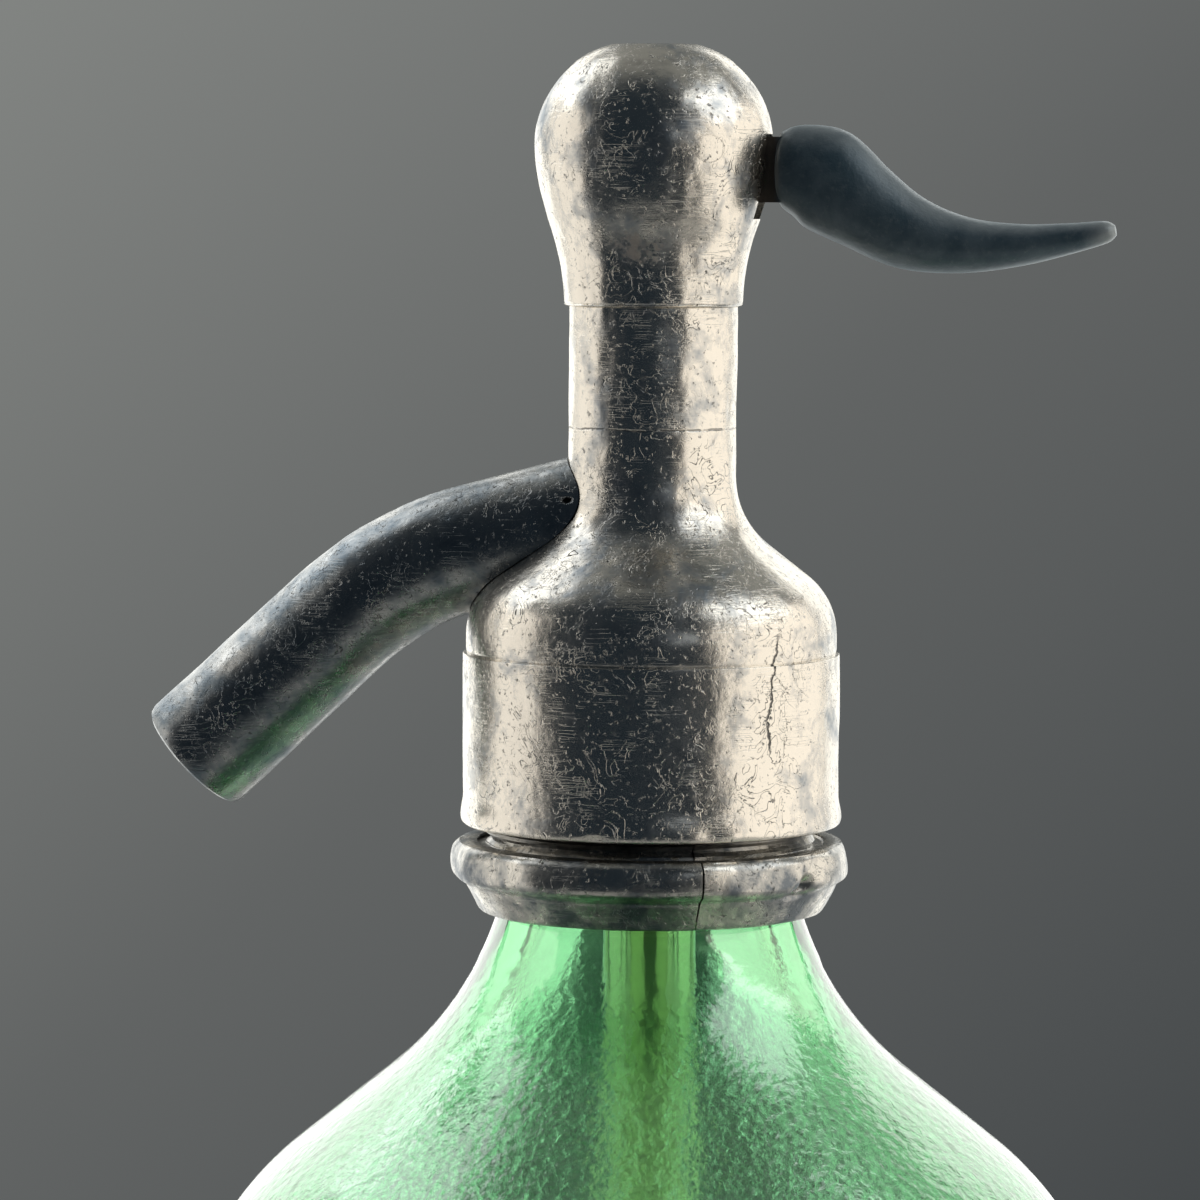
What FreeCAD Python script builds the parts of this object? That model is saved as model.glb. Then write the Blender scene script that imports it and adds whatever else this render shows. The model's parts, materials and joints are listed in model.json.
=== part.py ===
import FreeCAD, Part
import math
import os

# Soda siphon: a thick glass bottle under a cast pewter head with a small horn shaped lever.
# Sizes are in millimetres and angles in degrees. +Z is up, the lever points along +X and the
# spout along -X. The origin is the centre of the bottle's foot ring, on the table.

# Bottle
bottle_radius = 55.0
shoulder_height = 159.0
shoulder_bend = 38.0
shoulder_slope = 51.0
flare_bend = 38.0
neck_radius = 15.8
neck_length = 2.2
lip_radius = 17.5
lip_length = 7.2
lip_rounding = 0.9
glass_wall = 5.2
heel_bend = 9.0
inner_heel_bend = 11.0
foot_ring_inner = 31.0
punt_rise = 6.0
floor_thickness = 7.5
shoulder_facets = 4
flare_facets = 4
heel_facets = 4
inner_heel_facets = 2
punt_facets = 2

# Collar: two halves round the neck, a rubber liner inside them and a gasket on the lip
liner_thickness = 0.8
collar_cone_radius = 19.8
collar_cone_top_radius = 21.5
collar_cone_height = 3.2
collar_grip = 13.2
collar_flange_radius = 23.1
collar_flange_height = 5.0
collar_flange_rim = 1.7
collar_rim_facets = 4
collar_groove_radius = 20.3
collar_groove_depth = 0.5
collar_thread_radius = 18.9
collar_split_angle = -65.4
collar_split_gap = 0.2
collar_top_gap = 0.6
gasket_thickness = 1.8
gasket_bore = 11.2

# Head casting: skirt, dome and column
skirt_radius = 21.65
skirt_depth = 12.2
skirt_rim_flare = 0.3
skirt_rim_height = 2.6
seam_step = 0.35
seam_height = 7.3
dome_start = 9.3
dome_bend = 8.8
dome_slope = 52.0
column_foot_bend = 10.0
column_radius = 9.7
column_top = 47.0
cap_thread_radius = 8.6
cap_thread_length = 6.4
chamber_bore = 5.6
socket_bore = 8.2
socket_depth = 7.8
bush_bore = 6.95
bush_seat = 42.4
dome_facets = 5
column_foot_facets = 5

# Spout: a tapered straight run, a bend and a root that sits on the column like a saddle
spout_port_height = 24.7
spout_root_slope = 15.0
spout_root_length = 21.1
spout_bend = 38.0
spout_slope = 43.0
spout_straight = 23.8
spout_tip_radius = 7.55
spout_root_radius = 7.25
spout_mouth_bore = 5.0
spout_root_bore = 3.6
spout_spigot_radius = 4.6
spout_rim_rounding = 0.6
spout_bend_facets = 4

# Lever housing: the bulb screwed on the column
bulb_rim_radius = 10.35
bulb_radius = 13.67
bulb_waist_bend = 26.0
bulb_belly_bend = 26.0
bulb_crown_bend = 11.67
bulb_widest = 18.3
bulb_height = 29.6
bulb_bore = 6.2
bulb_roof = 3.6
bulb_waist_facets = 2
bulb_belly_facets = 3
bulb_crown_facets = 5
boss_width = 6.8
boss_bottom = 10.3
boss_top = 19.7

# Lever and its pivot. The stub and the boss round it reach out from the pivot.
pivot_inset = 5.67
pivot_height = 17.8
pivot_pin_radius = 1.5
lever_travel = 14.0
tongue_width = 4.8
eye_radius = 3.4
nose_radius = 2.0
nose_neck = 2.4
stub_reach = 7.8
stub_bottom = 6.0
stub_top = 1.4
boss_reach = 5.2

# Valve train on the axis
rod_radius = 1.5
seat_height = 3.2
seat_flange = 1.1
seat_orifice = 1.9
seat_nose_width = 0.9
seat_nose_height = 0.6
washer_radius = 3.6
washer_thickness = 2.0
retainer_radius = 4.4
retainer_height = 4.4
retainer_grip = 1.3
piston_height = 4.4
piston_base = 28.0
piston_groove_depth = 1.2
packing_height = 2.0
spring_wire = 1.1
spring_radius = 4.3
spring_turns = 4
spring_wire_sides = 6
spring_centring_radius = 3.4
bush_length = 6.0
stirrup_depth = 4.4
stirrup_width = 9.0
stirrup_bar = 2.2
stirrup_neck_radius = 2.8
stirrup_neck_length = 4.2
nut_height = 2.4
nut_across_flats = 5.5

# Dip tube and what holds it
tube_radius = 5.3
tube_bore = 3.9
tube_floor_gap = 7.0
holder_flange_height = 4.0
holder_corner_gap = 0.785
tube_bush_wall = 1.5
tube_bush_flange = 1.3

# Clearances
seat_gap = 0.03
thread_gap = 0.1
running_gap = 0.05
piston_gap = 0.1
side_gap = 0.3
stirrup_play = 0.08

# How far a cutter runs past the face that it cuts, and the shortest edge that an outline keeps
past = 1.0
shortest_edge = 1e-6

# Heights that the sizes above give
slope = math.radians(shoulder_slope)
shoulder_end_r = bottle_radius - shoulder_bend * (1 - math.cos(slope))
shoulder_end_z = shoulder_height + shoulder_bend * math.sin(slope)
flare_start_r = neck_radius + flare_bend * (1 - math.cos(slope))
flare_start_z = shoulder_end_z + (shoulder_end_r - flare_start_r) / math.tan(slope)
flare_top_z = flare_start_z + flare_bend * math.sin(slope)
flare_centre = (neck_radius + flare_bend, flare_top_z)
bead_z = flare_top_z + neck_length
lip_z = bead_z + lip_length
ledge_z = lip_z + gasket_thickness
skirt_z = ledge_z - skirt_depth
collar_z = bead_z - collar_grip
column_z = ledge_z + column_top
socket_z = ledge_z + socket_depth
port_z = ledge_z + spout_port_height
pivot_x = bulb_radius - pivot_inset
pivot_z = column_z + pivot_height
travel = math.radians(lever_travel)
stub_low = stub_bottom / math.cos(travel) + boss_reach * math.tan(travel)
slot_z = pivot_z - stub_low - side_gap
neck_bore = neck_radius - glass_wall
seat_nose_z = socket_z + seat_height
piston_z = ledge_z + piston_base
bush_z = ledge_z + bush_seat
rod_foot_z = seat_nose_z + washer_thickness
retainer_z = rod_foot_z - retainer_grip
packing_z = piston_z + (piston_height - packing_height) / 2
piston_radius = chamber_bore - piston_gap
window_half = nose_radius + stirrup_play
stirrup_z = pivot_z - window_half - stirrup_bar
neck_z = stirrup_z - stirrup_neck_length
holder_z = ledge_z - holder_flange_height
holder_top_z = socket_z - seat_flange
tube_bush_radius = tube_radius + tube_bush_wall
tube_bush_top_z = holder_top_z - seat_flange - seat_gap


def at(x, z, y=0.0):
    return FreeCAD.Vector(x, y, z)


UP = FreeCAD.Vector(0, 0, 1)
ACROSS = FreeCAD.Vector(0, 1, 0)


class Outline:
    """A line of straight runs and arcs in the upright plane through the axis."""

    def __init__(self, r, z):
        self.start = at(r, z)
        self.end = self.start
        self.edges = []

    def line(self, r, z):
        corner = at(r, z)
        if corner.distanceToPoint(self.end) > shortest_edge:
            self.edges.append(Part.LineSegment(self.end, corner).toShape())
            self.end = corner
        return self

    def arc(self, centre, start_angle, end_angle, facets):
        """A bend about a centre in equal facets, its angles in degrees from the +r direction."""
        cx, cz = centre
        bend = math.hypot(self.end.x - cx, self.end.z - cz)
        step = (end_angle - start_angle) / facets
        for i in range(1, facets + 1):
            turn = math.radians(start_angle + step * i)
            self.line(cx + bend * math.cos(turn), cz + bend * math.sin(turn))
        return self

    def face(self):
        self.line(self.start.x, self.start.z)
        return Part.Face(Part.Wire(self.edges))

    def turned(self):
        return self.face().revolve(at(0, 0), UP, 360)


def rod(radius, low, high, bore=0.0):
    """An upright round bar or tube on the axis."""
    bar = Part.makeCylinder(radius, high - low, at(0, low))
    if bore:
        bar = bar.cut(Part.makeCylinder(bore, high - low + 2 * past, at(0, low - past)))
    return bar


def bar_across(radius, length, x, z):
    """A round bar along Y, centred on the middle plane."""
    return Part.makeCylinder(radius, length, at(x, z, -length / 2), ACROSS)


def block(x_low, x_high, width, z_low, z_high):
    """A block centred on the middle plane."""
    return Part.makeBox(x_high - x_low, width, z_high - z_low, at(x_low, z_low, -width / 2))


def hexagon(corner, low, high):
    """An upright hexagonal bar on the axis, its corners at a radius."""
    turns = [math.radians(60 * i) for i in range(7)]
    points = [at(corner * math.cos(a), low, corner * math.sin(a)) for a in turns]
    return Part.Face(Part.makePolygon(points)).extrude(UP * (high - low))


def glass_bottle():
    """Bottle with a foot ring, a straight wall, a round shoulder and a flared neck with a bead."""
    inner_radius = bottle_radius - glass_wall
    floor_z = floor_thickness
    punt_bend = (foot_ring_inner**2 + punt_rise**2) / (2 * punt_rise)
    punt_half = math.degrees(math.asin(foot_ring_inner / punt_bend))
    shoulder_centre = (bottle_radius - shoulder_bend, shoulder_height)
    inner_shoulder = shoulder_bend - glass_wall
    sin, cos = math.sin(slope), math.cos(slope)
    shape = Outline(0, punt_rise)
    shape.arc((0, punt_rise - punt_bend), 90, 90 - punt_half, punt_facets)
    shape.line(bottle_radius - heel_bend, 0)
    shape.arc((bottle_radius - heel_bend, heel_bend), -90, 0, heel_facets)
    shape.line(bottle_radius, shoulder_height)
    shape.arc(shoulder_centre, 0, shoulder_slope, shoulder_facets)
    shape.line(flare_start_r, flare_start_z)
    shape.arc(flare_centre, 180 + shoulder_slope, 180, flare_facets)
    shape.line(neck_radius, bead_z)
    shape.line(lip_radius, bead_z)
    shape.line(lip_radius, lip_z - lip_rounding)
    shape.line(lip_radius - lip_rounding, lip_z)
    shape.line(neck_bore, lip_z)
    shape.line(neck_bore, flare_top_z)
    shape.arc(flare_centre, 180, 180 + shoulder_slope, flare_facets)
    shape.line(shoulder_centre[0] + inner_shoulder * cos, shoulder_height + inner_shoulder * sin)
    shape.arc(shoulder_centre, shoulder_slope, 0, shoulder_facets)
    shape.line(inner_radius, floor_z + inner_heel_bend)
    shape.arc((inner_radius - inner_heel_bend, floor_z + inner_heel_bend), 0, -90, inner_heel_facets)
    shape.line(foot_ring_inner, floor_z)
    shape.line(0, floor_z + punt_rise)
    return shape.turned()


def under_bead(gap):
    """Flare and neck up to the bead as a solid, moved out from the glass by a gap."""
    bend = flare_bend - gap
    low = flare_top_z - bend * math.sin(slope)
    shape = Outline(0, low)
    shape.line(flare_centre[0] - bend * math.cos(slope), low)
    shape.arc(flare_centre, 180 + shoulder_slope, 180, flare_facets)
    shape.line(neck_radius + gap, bead_z)
    shape.line(0, bead_z)
    return shape.turned()


def collar_liner():
    """Thin rubber sleeve between glass and collar, turned out under the bead."""
    turned_out = rod(lip_radius, bead_z - liner_thickness, bead_z)
    shape = under_bead(liner_thickness).fuse(turned_out).cut(under_bead(seat_gap))
    return shape.common(rod(bottle_radius, collar_z + liner_thickness, lip_z))


def collar():
    """The whole collar: a cone under a flange, and a neck that the skirt's thread grips."""
    grip = liner_thickness + seat_gap
    cone_z = collar_z + collar_cone_height
    rim_z = cone_z + collar_flange_height / 2
    top_z = cone_z + collar_flange_height
    rim = collar_flange_rim
    shape = Outline(0, collar_z)
    shape.line(collar_cone_radius, collar_z)
    shape.line(collar_cone_top_radius, cone_z)
    shape.line(collar_flange_radius - rim, rim_z - rim)
    shape.arc((collar_flange_radius - rim, rim_z), -90, 90, collar_rim_facets)
    shape.line(collar_groove_radius, top_z)
    shape.line(collar_groove_radius, top_z - collar_groove_depth)
    shape.line(collar_thread_radius, top_z - collar_groove_depth)
    shape.line(collar_thread_radius, lip_z - collar_top_gap)
    shape.line(0, lip_z - collar_top_gap)
    shape = shape.turned().cut(under_bead(grip))
    return shape.cut(rod(lip_radius + seat_gap, bead_z - grip, lip_z))


def collar_half(turn):
    """One half of the collar, on one side of the upright split."""
    size = 2 * (collar_flange_radius + past)
    cutter = Part.makeBox(size, size, size, at(-size / 2, collar_z - past, collar_split_gap / 2))
    cutter.rotate(at(0, 0), UP, collar_split_angle + turn)
    return collar().common(cutter)


def neck_gasket():
    return rod(lip_radius - lip_rounding / 2, lip_z, ledge_z, gasket_bore)


def head_outline(grow):
    """The outside of skirt, dome and column as a solid, grown by a gap."""
    dome_r = skirt_radius - seam_step + grow
    dome_z = ledge_z + dome_start
    bend = dome_bend + grow
    turn = math.radians(dome_slope)
    foot_r = column_radius + grow + (column_foot_bend - grow) * (1 - math.cos(turn))
    dome_end_r = dome_r - bend * (1 - math.cos(turn))
    dome_end_z = dome_z + bend * math.sin(turn)
    foot_z = dome_end_z + (dome_end_r - foot_r) / math.tan(turn)
    foot_top_z = foot_z + (column_foot_bend - grow) * math.sin(turn)
    seam_z = ledge_z + seam_height
    shape = Outline(0, skirt_z - grow)
    shape.line(skirt_radius + skirt_rim_flare + grow, skirt_z - grow)
    shape.line(skirt_radius + skirt_rim_flare + grow, skirt_z + skirt_rim_height / 2)
    shape.line(skirt_radius + grow, skirt_z + skirt_rim_height)
    shape.line(skirt_radius + grow, seam_z)
    shape.line(dome_r, seam_z)
    shape.line(dome_r, dome_z)
    shape.arc((dome_r - bend, dome_z), 0, dome_slope, dome_facets)
    shape.line(foot_r, foot_z)
    foot_centre = (column_radius + column_foot_bend, foot_top_z)
    shape.arc(foot_centre, 180 + dome_slope, 180, column_foot_facets)
    shape.line(column_radius + grow, column_z)
    shape.line(0, column_z)
    return shape.turned()


def spout_path():
    """The points and directions that the spout's centre line goes through, from the axis out."""
    first, last = math.radians(spout_root_slope), math.radians(spout_slope)
    out = at(-math.cos(first), -math.sin(first))
    down = at(-math.cos(last), -math.sin(last))
    half = (last - first) / 2
    chord = 2 * spout_bend * math.sin(half)
    start = at(0, port_z)
    bend_start = start + out * spout_root_length
    bend_end = bend_start + at(-math.cos(first + half), -math.sin(first + half)) * chord
    tip = bend_end + down * spout_straight
    centre = bend_start + at(math.sin(first), -math.cos(first)) * spout_bend
    return start, out, bend_start, centre, bend_end, down, tip


def hoop(point, way, radius):
    """A circle across a way, its seam at the side."""
    circle = Part.Circle(point, way, radius)
    circle.XAxis = ACROSS
    return Part.Wire(circle.toShape())


def bent_bar(radius, tip_radius, rounding):
    """A bar along the spout's path: a straight root, a faceted bend and a straight that may taper."""
    start, out, _, centre, _, down, tip = spout_path()
    hoops = [hoop(start, out, radius)]
    for i in range(spout_bend_facets + 1):
        angle = spout_root_slope + (spout_slope - spout_root_slope) * i / spout_bend_facets
        turn = math.radians(angle)
        point = centre + at(-math.sin(turn), math.cos(turn)) * spout_bend
        hoops.append(hoop(point, at(-math.cos(turn), -math.sin(turn)), radius))
    if rounding:
        hoops.append(hoop(tip - down * rounding, down, tip_radius))
    hoops.append(hoop(tip, down, tip_radius - rounding))
    return Part.makeLoft(hoops, True, True)


def spout():
    """Cast spout with a spigot in the column's port and a straight bore at its mouth."""
    start, out, _, _, bend_end, down, _ = spout_path()
    body = bent_bar(spout_root_radius, spout_tip_radius, spout_rim_rounding)
    body = body.cut(head_outline(seat_gap))
    body = max(body.Solids, key=lambda solid: solid.Volume)
    reach = (chamber_bore + seat_gap) / math.cos(math.radians(spout_root_slope))
    spigot_length = spout_root_length - reach
    spigot = Part.makeCylinder(spout_spigot_radius, spigot_length, start + out * reach, out)
    spigot = spigot.cut(rod(chamber_bore + seat_gap, ledge_z, column_z))
    mouth = Part.makeCylinder(spout_mouth_bore, spout_straight, bend_end, down)
    body = body.fuse(spigot).cut(bent_bar(spout_root_bore, spout_root_bore, 0))
    return body.cut(mouth).removeSplitter()


def head_body():
    """Cast head: a skirt over the collar, a dome and a column bored for the valve train."""
    start, out = spout_path()[:2]
    thread_top = column_z + cap_thread_length
    shape = head_outline(0).fuse(rod(cap_thread_radius, column_z - past, thread_top))
    shape = shape.cut(rod(collar_thread_radius + thread_gap, skirt_z - past, ledge_z))
    shape = shape.cut(rod(socket_bore, ledge_z - past, socket_z))
    shape = shape.cut(rod(chamber_bore, socket_z - past, bush_z + past))
    shape = shape.cut(rod(bush_bore, bush_z, thread_top + past))
    port = Part.makeCylinder(spout_spigot_radius + seat_gap, spout_root_length, start, out)
    return shape.cut(port).removeSplitter()


def bulb_outline():
    """The outside of the bulb as a solid."""
    widest_z = column_z + bulb_widest
    top_z = column_z + bulb_height
    spread = bulb_radius - bulb_rim_radius
    both = bulb_waist_bend + bulb_belly_bend
    lean = math.degrees(math.acos(1 - spread / both))
    belly_centre = (bulb_radius - bulb_belly_bend, widest_z)
    low_z = widest_z - both * math.sin(math.radians(lean))
    waist_centre = (bulb_rim_radius + bulb_waist_bend, low_z)
    crown_centre = (bulb_radius - bulb_crown_bend, widest_z)
    crown_angle = math.degrees(math.asin((top_z - widest_z) / bulb_crown_bend))
    shape = Outline(0, column_z)
    if low_z > column_z:
        shape.line(bulb_rim_radius, column_z)
        shape.line(bulb_rim_radius, low_z)
        start_angle = 180
    else:
        start_angle = 180 - math.degrees(math.asin((column_z - low_z) / bulb_waist_bend))
        first = math.radians(start_angle)
        shape.line(waist_centre[0] + bulb_waist_bend * math.cos(first), column_z)
    shape.arc(waist_centre, start_angle, 180 - lean, bulb_waist_facets)
    shape.arc(belly_centre, -lean, 0, bulb_belly_facets)
    shape.arc(crown_centre, 0, crown_angle, bulb_crown_facets)
    shape.line(0, top_z)
    return shape.turned()


def lever_housing():
    """Bulb with a thread socket, a bore for the stirrup, a slot for the lever and a boss round it."""
    slot = tongue_width + 2 * side_gap
    roof_z = column_z + bulb_height - bulb_roof
    boss_end = pivot_x + boss_reach
    boss = block(0, boss_end, boss_width, column_z + boss_bottom, column_z + boss_top)
    shape = bulb_outline().fuse(boss)
    thread_top = column_z + cap_thread_length
    shape = shape.cut(rod(cap_thread_radius + thread_gap, column_z - past, thread_top))
    shape = shape.cut(rod(bulb_bore, column_z, roof_z))
    eye_room = eye_radius + side_gap
    shape = shape.cut(block(0, pivot_x + eye_room, slot, slot_z, pivot_z + eye_room))
    exit_top = pivot_z + stub_top + side_gap
    shape = shape.cut(block(0, 2 * bulb_radius, slot, slot_z, exit_top))
    return shape.cut(bar_across(pivot_pin_radius + seat_gap, 3 * bulb_radius, pivot_x, pivot_z))


def pivot_pin():
    """Pin with ends dressed flush with the bulb."""
    return bar_across(pivot_pin_radius, 3 * bulb_radius, pivot_x, pivot_z).common(bulb_outline())


# The horn's centre line: distance out and rise from the pivot, lean, half height and half width
horn_stations = (
    (6.9, -2.4, 0, 3.0, 3.2),
    (7.4, -2.3, 0, 4.3, 4.2),
    (9.2, -2.5, -6, 5.3, 4.9),
    (12.2, -3.6, -24, 5.95, 5.2),
    (16.6, -6.6, -33, 5.0, 5.1),
    (22.0, -9.4, -20, 4.25, 4.8),
    (28.5, -10.7, -6, 3.25, 4.2),
    (35.0, -10.7, 5, 2.5, 3.5),
    (41.0, -9.9, 10, 1.8, 2.7),
    (44.8, -9.2, 10, 1.3, 2.0),
    (46.0, -9.0, 10, 0.6, 1.0),
)
horn_section_points = 12


def horn_section(reach, rise, lean, half_height, half_width):
    """An oval across the horn's centre line."""
    turn = math.radians(lean)
    upright = at(-math.sin(turn), math.cos(turn)) * half_height
    sideways = ACROSS * half_width
    centre = at(pivot_x + reach, pivot_z + rise)
    points = []
    for i in range(horn_section_points):
        angle = 2 * math.pi * i / horn_section_points
        points.append(centre + upright * math.cos(angle) + sideways * math.sin(angle))
    return Part.makePolygon(points + points[:1])


def lever():
    """Horn with a flat tongue: a stub in the slot, an eye on the pin and a nose in the stirrup."""
    horn = Part.makeLoft([horn_section(*station) for station in horn_stations], True, True)
    stub_end = pivot_x + stub_reach
    stub = block(pivot_x, stub_end, tongue_width, pivot_z - stub_bottom, pivot_z + stub_top)
    eye = bar_across(eye_radius, tongue_width, pivot_x, pivot_z)
    neck = block(0, pivot_x, tongue_width, pivot_z - nose_neck / 2, pivot_z + nose_neck / 2)
    nose = bar_across(nose_radius, tongue_width, 0, pivot_z)
    shape = horn
    for piece in (stub, eye, neck, nose):
        shape = shape.fuse(piece)
    hole = bar_across(pivot_pin_radius + running_gap, 2 * tongue_width, pivot_x, pivot_z)
    return shape.cut(hole).removeSplitter()


def rod_stirrup():
    """Loop on top of the rod, open along the lever, with a threaded neck below."""
    top = pivot_z + window_half + stirrup_bar
    width = tongue_width + 2 * side_gap
    window = block(-stirrup_depth, stirrup_depth, width, pivot_z - window_half, pivot_z + window_half)
    shape = block(-stirrup_depth / 2, stirrup_depth / 2, stirrup_width, stirrup_z, top).cut(window)
    shape = shape.fuse(rod(stirrup_neck_radius, neck_z, stirrup_z))
    return shape.cut(rod(rod_radius + seat_gap, neck_z - past, stirrup_z)).removeSplitter()


def stirrup_nut():
    nut = hexagon(nut_across_flats / math.sqrt(3), neck_z - nut_height, neck_z)
    return nut.cut(rod(rod_radius + seat_gap, neck_z - nut_height - past, neck_z + past))


def valve_rod():
    return rod(rod_radius, rod_foot_z, stirrup_z)


def valve_washer():
    return rod(washer_radius, seat_nose_z, seat_nose_z + washer_thickness)


def washer_retainer():
    """Cup that holds the rubber washer on the rod's foot."""
    cup = rod(retainer_radius, retainer_z, retainer_z + retainer_height)
    cup = cup.cut(rod(washer_radius + seat_gap, retainer_z - past, rod_foot_z))
    return cup.cut(rod(rod_radius + seat_gap, rod_foot_z, retainer_z + retainer_height + past))


def valve_seat():
    """Seat pressed in the chamber's foot, with a raised nose round the orifice."""
    flange = rod(socket_bore - running_gap, socket_z - seat_flange, socket_z)
    body = rod(chamber_bore - seat_gap, socket_z, seat_nose_z - seat_nose_height)
    nose = rod(seat_orifice + seat_nose_width, seat_nose_z - seat_nose_height, seat_nose_z)
    shape = flange.fuse(body).fuse(nose)
    orifice = rod(seat_orifice, socket_z - seat_flange - past, seat_nose_z + past)
    return shape.cut(orifice).removeSplitter()


def piston():
    """Grooved disc that keeps the drink out of the spring, with a spigot that centres the spring."""
    groove_radius = piston_radius - piston_groove_depth
    groove = rod(piston_radius + past, packing_z, packing_z + packing_height, groove_radius)
    shape = rod(piston_radius, piston_z, piston_z + piston_height).cut(groove)
    spigot_top = piston_z + piston_height + spring_wire
    shape = shape.fuse(rod(spring_centring_radius, piston_z, spigot_top))
    return shape.cut(rod(rod_radius + seat_gap, piston_z - past, spigot_top + past)).removeSplitter()


def piston_packing():
    inner = piston_radius - piston_groove_depth + seat_gap
    top = packing_z + packing_height - seat_gap
    return rod(chamber_bore - running_gap, packing_z + seat_gap, top, inner)


def quarter_turn(start, start_way, end, end_way):
    """Two arcs that leave one point and reach the other along the given directions."""
    span = end - start
    both = start_way + end_way
    a = both.dot(both) - 4
    b = -2 * span.dot(both)
    c = span.dot(span)
    reach = (-b - math.sqrt(b * b - 4 * a * c)) / (2 * a)
    corners = (start + start_way * reach, end - end_way * reach)
    middle = (corners[0] + corners[1]) * 0.5
    edges = []
    for first, corner, last in ((start, corners[0], middle), (middle, corners[1], end)):
        inward = (first + last) * 0.5 - corner
        half = first.distanceToPoint(last) / 2
        bend = reach * half / inward.Length
        crown = math.hypot(bend, reach) - bend
        edges.append(Part.Arc(first, corner + inward * (crown / inward.Length), last).toShape())
    return edges


def return_spring():
    """Coil spring between the piston and the guide bush."""
    low = piston_z + piston_height + spring_wire / 2 + seat_gap
    high = bush_z - spring_wire / 2 - seat_gap
    quarters = 4 * spring_turns
    rise = (high - low) / quarters
    climb = 2 * rise / (math.pi * spring_radius)

    def point(i):
        turn = math.pi / 2 * i
        return at(spring_radius * math.cos(turn), low + rise * i, spring_radius * math.sin(turn))

    def way(i):
        turn = math.pi / 2 * i
        return at(-math.sin(turn), climb, math.cos(turn)).normalize()

    edges = []
    for i in range(quarters):
        edges += quarter_turn(point(i), way(i), point(i + 1), way(i + 1))
    turns = [2 * math.pi * i / spring_wire_sides for i in range(spring_wire_sides + 1)]
    outward = at(1, 0)
    upward = way(0).cross(outward).normalize()
    half = spring_wire / 2
    ring = [point(0) + outward * (half * math.cos(a)) + upward * (half * math.sin(a)) for a in turns]
    ring[-1] = ring[0]
    return Part.Wire(edges).makePipeShell([Part.makePolygon(ring)], True, False)


def guide_bush():
    """Threaded bush in the column's mouth that guides the rod and takes the spring's push."""
    top = bush_z + bush_length
    shape = rod(bush_bore - running_gap, bush_z, top, rod_radius + running_gap)
    slot = block(-bush_bore, bush_bore, spring_wire, top - spring_wire, top + past)
    return shape.cut(slot)


def tube_holder():
    """Threaded plug under the column that holds the dip tube's rubber bush."""
    shape = rod(socket_bore - running_gap, ledge_z, holder_top_z)
    shape = shape.fuse(hexagon(neck_bore - holder_corner_gap, holder_z, ledge_z))
    shape = shape.cut(rod(tube_bush_radius + seat_gap, holder_z - past, tube_bush_top_z + seat_gap))
    return shape.cut(rod(tube_bore, holder_z, holder_top_z + past)).removeSplitter()


def dip_tube_bush():
    low = holder_z - tube_bush_flange
    shape = rod(tube_bush_radius, holder_z, tube_bush_top_z).fuse(rod(socket_bore, low, holder_z))
    bore = rod(tube_radius + seat_gap, low - past, tube_bush_top_z + past)
    return shape.cut(bore).removeSplitter()


def dip_tube():
    """Glass tube that brings the drink up from just above the floor."""
    low = floor_thickness + punt_rise + tube_floor_gap
    return rod(tube_radius, low, tube_bush_top_z - seat_gap, tube_bore)


nodes = {
    "glass_bottle": glass_bottle(),
    "collar_half_left": collar_half(180),
    "collar_half_right": collar_half(0),
    "collar_liner": collar_liner(),
    "neck_gasket": neck_gasket(),
    "head_body": head_body(),
    "spout": spout(),
    "lever_housing": lever_housing(),
    "pivot_pin": pivot_pin(),
    "lever": lever(),
    "rod_stirrup": rod_stirrup(),
    "stirrup_nut": stirrup_nut(),
    "valve_rod": valve_rod(),
    "piston": piston(),
    "piston_packing": piston_packing(),
    "washer_retainer": washer_retainer(),
    "valve_washer": valve_washer(),
    "valve_seat": valve_seat(),
    "return_spring": return_spring(),
    "guide_bush": guide_bush(),
    "tube_holder": tube_holder(),
    "dip_tube_bush": dip_tube_bush(),
    "dip_tube": dip_tube(),
}

os.makedirs("parts", exist_ok=True)
for name, shape in nodes.items():
    shape.exportStep(f"parts/{name}.step")
    print(name, len(shape.Solids), shape.isValid(), round(shape.Volume, 1))
print("lever pivot", round(pivot_x, 3), round(pivot_z, 3))
print("spout mouth", spout_path()[-1])
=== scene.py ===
import json
import math

import bmesh
import bpy
from mathutils import Matrix, Vector, noise


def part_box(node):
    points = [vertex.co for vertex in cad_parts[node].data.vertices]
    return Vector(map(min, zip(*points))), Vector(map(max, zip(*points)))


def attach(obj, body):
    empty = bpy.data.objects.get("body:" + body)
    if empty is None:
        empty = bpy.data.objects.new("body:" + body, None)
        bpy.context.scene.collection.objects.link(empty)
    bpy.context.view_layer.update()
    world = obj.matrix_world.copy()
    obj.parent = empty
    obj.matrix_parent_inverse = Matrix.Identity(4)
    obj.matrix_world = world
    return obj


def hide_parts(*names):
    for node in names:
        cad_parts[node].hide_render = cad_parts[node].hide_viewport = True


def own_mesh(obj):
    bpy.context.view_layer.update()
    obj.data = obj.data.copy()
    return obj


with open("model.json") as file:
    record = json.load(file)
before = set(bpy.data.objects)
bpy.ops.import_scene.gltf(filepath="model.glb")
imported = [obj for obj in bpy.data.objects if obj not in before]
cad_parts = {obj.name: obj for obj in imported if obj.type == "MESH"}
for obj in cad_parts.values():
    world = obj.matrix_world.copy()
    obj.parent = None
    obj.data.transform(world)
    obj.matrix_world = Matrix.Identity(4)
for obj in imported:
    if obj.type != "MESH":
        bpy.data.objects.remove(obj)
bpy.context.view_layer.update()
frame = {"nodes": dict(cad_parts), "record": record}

# Lengths are in millimetres in the object's frame, and MM turns them into metres.
MM = 0.001
SHARP_ANGLE = math.radians(32)
SPLIT_ANGLE = math.radians(-65.4)
SPLIT_GAP = 0.2
SIDES = 160
TUBE_BORE = 2.2
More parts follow.
